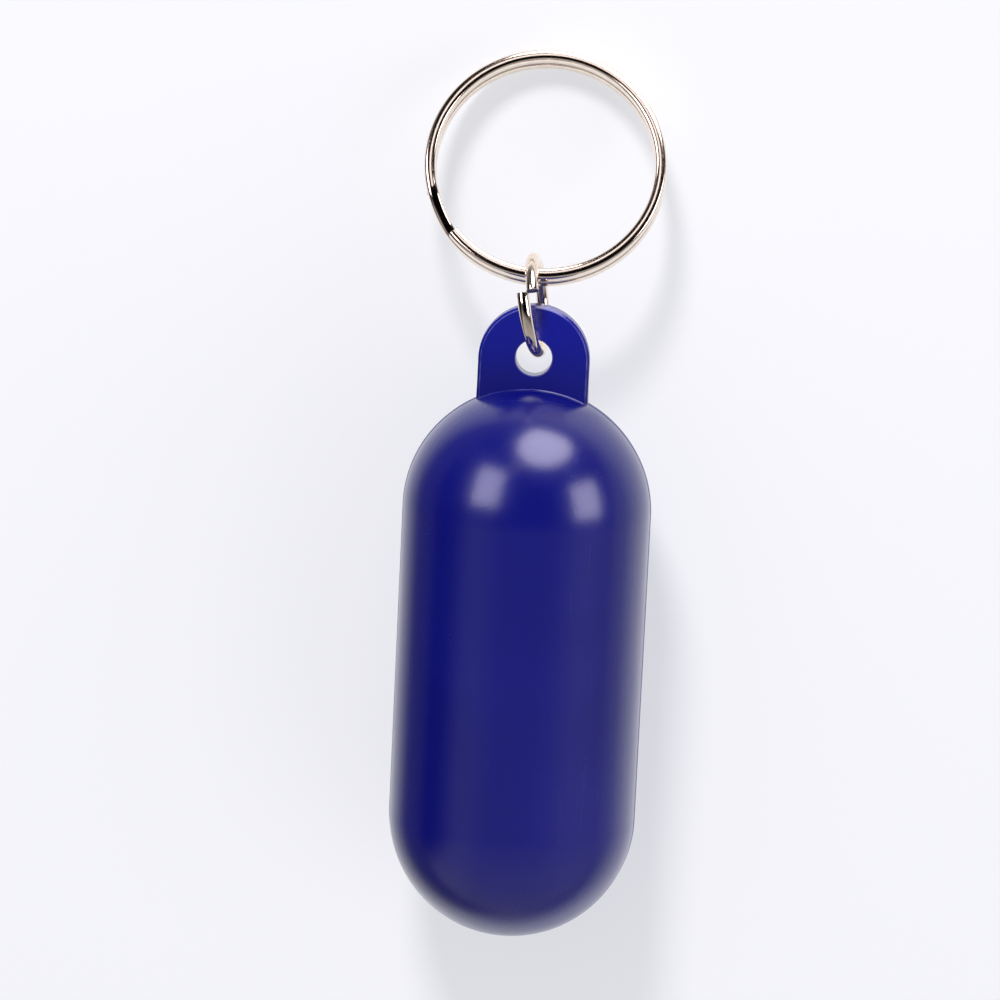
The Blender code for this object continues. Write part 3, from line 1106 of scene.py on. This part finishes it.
@dataclass
class SplitRing:
    """The split key ring: two turns of flattened wire, pressed together."""

    outer_radius: float = 14.65 * MM
    wire_width: float = 1.4 * MM
    wire_height: float = 1.78 * MM
    stack_height: float = 3.66 * MM
    squareness: float = 3.6
    end_round: float = 0.3 * MM
    steps: int = 900
    sides: int = 36
    cut_angle: float = radians(221.0)
    step_angle: float = radians(26.0)
    finish: NickelPlate = field(default_factory=lambda: NickelPlate("split_ring_nickel"))

    def build(self, effects: SurfaceEffects, winder: WoundWire) -> bpy.types.Object:
        """Build and dress the split ring, and put it on its body.

        Args:
            effects: The shader groups that its finish uses.
            winder: The tree that winds it.

        Returns:
            The finished piece.
        """
        mount = next(row for row in frame["record"]["mounts"] if row["name"] == "key_ring")
        normal = Vector(mount["axis"])
        piece = winder.wind(
            "split_ring_wire",
            {
                "Coil Radius": self.outer_radius - self.wire_width / 2,
                "Start Angle": self.cut_angle,
                "Turned Angle": 2 * tau - self.step_angle,
                "Pitch": self.stack_height - self.wire_height,
                "Step From": tau - self.step_angle,
                "Step To": tau,
                "Level Turns": Spread.LEVEL_TURNS.value,
                "Wire Width": self.wire_width,
                "Wire Height": self.wire_height,
                "Squareness": self.squareness,
                "End Round": self.end_round,
                "Steps": self.steps,
                "Sides": self.sides,
                "Centre": tuple(mount["pos_m"]),
                "Rotation": Vector((0.0, 0.0, 1.0)).rotation_difference(normal).to_euler(),
                "Finish": self.finish.build(effects),
            },
        )
        seat(piece, Body.SPLIT_RING, "split_ring")
        return piece


class Shows(Enum):
    """What a lamp does: light the scene, or show as a highlight on glossy pieces."""

    LIGHT = "light"
    HIGHLIGHT = "highlight"


class LampShape(Enum):
    """Outline of a soft box, by Blender's name, with the share of its rectangle that it fills."""

    OVAL = ("ELLIPSE", pi / 4)
    OBLONG = ("RECTANGLE", 1.0)


@dataclass(frozen=True)
class SoftBox:
    """A soft box, seen from the keychain in a given direction, with its angles in degrees."""

    name: str
    azimuth: float
    elevation: float
    wide: float
    tall: float
    radiance: float
    roll: float = 0.0
    shows: Shows = Shows.HIGHLIGHT
    shape: LampShape = LampShape.OBLONG
    distance: float = 0.9
    colour: tuple[float, float, float] = (1.0, 0.93, 0.98)

    def build(self, target: Vector) -> bpy.types.Object:
        """Build the lamp, turned to its target.

        Args:
            target: The point that it lights.

        Returns:
            The lamp.
        """
        azimuth, elevation = radians(self.azimuth), radians(self.elevation)
        level = cos(elevation)
        way = Vector((cos(azimuth) * level, sin(azimuth) * level, sin(elevation)))
        lamp = bpy.data.lights.new(self.name, "AREA")
        lamp.shape, fill = self.shape.value
        lamp.color = self.colour
        lamp.size = 2 * self.distance * tan(radians(self.wide) / 2)
        lamp.size_y = 2 * self.distance * tan(radians(self.tall) / 2)
        lamp.energy = self.radiance * pi * (fill * lamp.size * lamp.size_y)
        obj = new_object(self.name, lamp)
        obj.location = target + way * self.distance
        obj.rotation_mode = "QUATERNION"
        facing = (-way).to_track_quat("-Z", "Y")
        obj.rotation_quaternion = facing @ Euler((0.0, 0.0, radians(self.roll))).to_quaternion()
        obj.visible_camera = False
        obj.visible_diffuse = self.shows is Shows.LIGHT
        obj.visible_glossy = self.shows is Shows.HIGHLIGHT
        return obj


@dataclass
class Studio:
    """Pale floor, a soft tent of light above it, the soft boxes and the camera."""

    floor_size: float = 5.0
    floor_roughness: float = 0.9
    floor_shine: float = 0.1
    floor_colour: Colour = (0.42, 0.435, 0.43, 1.0)
    floor_painted_shade: Colour = (0.12, 0.11, 0.11, 1.0)
    floor_white: Colour = (0.52, 0.523, 0.554, 1.0)
    sky: Colour = (0.92, 0.94, 0.97, 1.0)
    fill: float = 0.4
    tent_radius: float = 1.0
    camera_distance: float = 0.6
    focal_pixels: float = 4908.1
    tilt: float = radians(10.95)
    side: float = radians(2.36)
    roll: float = radians(2.76)
    target: Vector = field(default_factory=lambda: Vector((-3.5, -0.8, 10.0)) * MM)
    lit_point: Vector = field(default_factory=lambda: Vector((0.0, 0.0, 15.0)) * MM)
    # Fades of a painted pool of light round the keychain, which gloss alone sees on the floor.
    floor_left: Fade = Fade(-60.0 * MM, -16.0 * MM, 0.0, 1.0)
    floor_right: Fade = Fade(18.0 * MM, 100.0 * MM, 1.0, 0.35)
    floor_front: Fade = Fade(-180.0 * MM, -62.0 * MM, 0.35, 1.0)
    floor_behind: Fade = Fade(55.0 * MM, 120.0 * MM, 1.0, 0.15)
    tent_colour: Colour = (1.0, 0.95, 0.98, 1.0)
    tent_front: Fade = Fade(-0.02, -0.4, 0.0, 0.3)
    tent_low_front: Fade = Fade(-0.4, -0.9, 0.0, 0.1)
    tent_left: Fade = Fade(-0.3, -0.65, 0.0, 0.11)
    tent_right: Fade = Fade(0.4, 0.85, 0.0, 0.05)
    tent_left_end: Fade = Fade(-0.72, -0.93, 1.0, 0.0)
    tent_behind: Fade = Fade(0.9, 1.0, 0.0, 0.12)
    boxes: tuple[SoftBox, ...] = (
        SoftBox("key", 102.0, 39.0, 13.0, 13.0, 61.0, shows=Shows.LIGHT, shape=LampShape.OVAL),
        SoftBox("side_fill", -25.0, 25.0, 60.0, 50.0, 1.2, shows=Shows.LIGHT),
        SoftBox("top_box", 77.2, 16.2, 38.0, 45.0, 6.4, roll=-43.5, shape=LampShape.OVAL),
        SoftBox("left_box", 142.0, 43.8, 33.0, 26.0, 4.7, roll=30.9),
        SoftBox("right_box", 17.5, 28.0, 29.0, 27.0, 4.7, roll=-9.2),
    )
    ring_card: SoftBox = SoftBox("ring_card", 92.7, 43.5, 9.0, 9.0, 1.2, shape=LampShape.OVAL)

    def build(self) -> None:
        """Build the camera first, then the floor, the tent and the lamps."""
        self.build_camera()
        self.build_floor()
        self.build_tent()
        for box in self.boxes:
            box.build(self.lit_point)
        world = bpy.context.scene.world or bpy.data.worlds.new("studio")
        bpy.context.scene.world = world
        world.use_nodes = True
        sheet = NodeSheet(world.node_tree)
        seen = self.seen_share(sheet)
        strength = sheet.math("ADD", self.fill, sheet.math("MULTIPLY", seen, 1.0 - self.fill))
        sky = sheet.add("ShaderNodeBackground", {"Color": self.sky, "Strength": strength})
        sheet.add("ShaderNodeOutputWorld", {"Surface": sky.outputs[0]})
        bpy.context.scene.view_settings.view_transform = "Standard"
        LOG.info("studio: camera, floor, tent and %d soft boxes", len(self.boxes))

    def light_rings(self, rings: tuple[bpy.types.Object, ...]) -> None:
        """Build the card that shows as a bright line in the rings, and in nothing else.

        Args:
            rings: The two rings.
        """
        card = self.ring_card.build(self.lit_point)
        shown_in = bpy.data.collections.new("ring_card_shown_in")
        for ring in rings:
            shown_in.objects.link(ring)
        card.light_linking.receiver_collection = shown_in
        LOG.info("ring card: shown in %d pieces", len(rings))

    def build_camera(self) -> None:
        """Make the camera at the photograph's viewing angle."""
        level = cos(self.side)
        back = Vector((sin(self.side), sin(self.tilt) * level, cos(self.tilt) * level))
        right = (-back).cross(Vector((0.0, 1.0, 0.0))).normalized()
        up = back.cross(right)
        turned_right = right * cos(self.roll) + up * sin(self.roll)
        turned_up = up * cos(self.roll) - right * sin(self.roll)
        data = bpy.data.cameras.new("camera")
        data.sensor_width = SENSOR_MM
        data.lens = self.focal_pixels * SENSOR_MM / IMAGE_PIXELS
        data.clip_start = 0.01
        data.clip_end = 20.0
        camera = new_object("camera", data)
        place = self.target + back * self.camera_distance
        turned = Matrix((turned_right, turned_up, back)).transposed().to_4x4()
        camera.matrix_world = Matrix.Translation(place) @ turned
        bpy.context.scene.camera = camera

    @staticmethod
    def seen_share(sheet: NodeSheet) -> Socket:
        """Add the nodes that tell the rays that show the background from those that light.

        Args:
            sheet: The sheet to add them to.

        Returns:
            1 for a ray that shows it, straight or by way of metal, gloss or glass, and 0 for others.
        """
        path = sheet.add("ShaderNodeLightPath").outputs
        mirrored = sheet.math("MAXIMUM", path["Is Glossy Ray"], path["Is Transmission Ray"])
        return sheet.math("MAXIMUM", path["Is Camera Ray"], mirrored)

    def build_floor(self) -> None:
        """Make the pale floor, with a painted pool of light round the keychain that gloss alone sees: gloss
        mirrors its far parts, mostly on the left, in painted shade.
        """
        material, sheet = new_material("floor_paper")
        place = sheet.add("ShaderNodeTexCoord").outputs["Object"]
        x, y, _ = sheet.add("ShaderNodeSeparateXYZ", {0: place}).outputs
        lit = self.floor_left.along(sheet, x)
        for fade, value in ((self.floor_right, x), (self.floor_front, y), (self.floor_behind, y)):
            lit = sheet.math("MULTIPLY", lit, fade.along(sheet, value))
        # Painted shade: gloss sees the floor's far parts, mostly on the left, darker and without their
        # glow.
        glossy = sheet.add("ShaderNodeLightPath").outputs["Is Glossy Ray"]
        unlit = sheet.math("MULTIPLY", glossy, sheet.math("SUBTRACT", 1.0, lit))
        colour = sheet.blend(unlit, self.floor_colour, self.floor_painted_shade)
        glow = sheet.math("MULTIPLY", self.seen_share(sheet), sheet.math("SUBTRACT", 1.0, unlit))
        white = {"Emission Color": self.floor_white, "Emission Strength": glow}
        paper = {"Base Color": colour, "Roughness": self.floor_roughness}
        shader = sheet.add("ShaderNodeBsdfPrincipled", paper | white)
        shader.inputs["Specular IOR Level"].default_value = self.floor_shine
        sheet.add("ShaderNodeOutputMaterial", {"Surface": shader.outputs[0]})
        shape = bmesh.new()
        bmesh.ops.create_grid(shape, x_segments=1, y_segments=1, size=self.floor_size / 2)
        self.set_up("floor", shape, material)

    def build_tent(self) -> None:
        """Make the tent of light: bright low in front, dark behind and overhead."""
        material, sheet = new_material("tent_light")
        place = sheet.add("ShaderNodeTexCoord").outputs["Object"]
        way = sheet.vector_math("NORMALIZE", place)
        x, y, _ = sheet.add("ShaderNodeSeparateXYZ", {0: way}).outputs
        front = sheet.math("ADD", self.tent_front.along(sheet, y), self.tent_low_front.along(sheet, y))
        sides = sheet.math("ADD", self.tent_left.along(sheet, x), self.tent_right.along(sheet, x))
        level = sheet.math("MULTIPLY", sheet.math("ADD", front, sides), self.tent_left_end.along(sheet, x))
        level = sheet.math("ADD", level, self.tent_behind.along(sheet, y))
        glow = sheet.add("ShaderNodeEmission", {"Color": self.tent_colour, "Strength": level})
        sheet.add("ShaderNodeOutputMaterial", {"Surface": glow.outputs[0]})
        shape = bmesh.new()
        bmesh.ops.create_uvsphere(shape, u_segments=32, v_segments=16, radius=self.tent_radius)
        tent = self.set_up("light_tent", shape, material)
        tent.visible_camera = False
        tent.visible_diffuse = False
        tent.visible_shadow = False

    @staticmethod
    def set_up(name: str, shape: bmesh.types.BMesh, material: bpy.types.Material) -> bpy.types.Object:
        """Put a shape of the studio in the scene.

        Args:
            name: The object's name.
            shape: Its shape, which is freed.
            material: Its material.

        Returns:
            The object.
        """
        mesh = bpy.data.meshes.new(name)
        shape.to_mesh(mesh)
        shape.free()
        mesh.materials.append(material)
        thing = new_object(name, mesh)
        return thing


def main() -> None:
    """Build the studio, then the keychain's three pieces."""
    logging.basicConfig(level=logging.INFO, format="%(message)s")
    studio = Studio()
    studio.build()
    effects = SurfaceEffects()
    winder = WoundWire()
    FloatBody().build(effects)
    jump_ring = JumpRing().build(effects, winder)
    split_ring = SplitRing().build(effects, winder)
    studio.light_rings((jump_ring, split_ring))


if __name__ == "__main__":
    main()
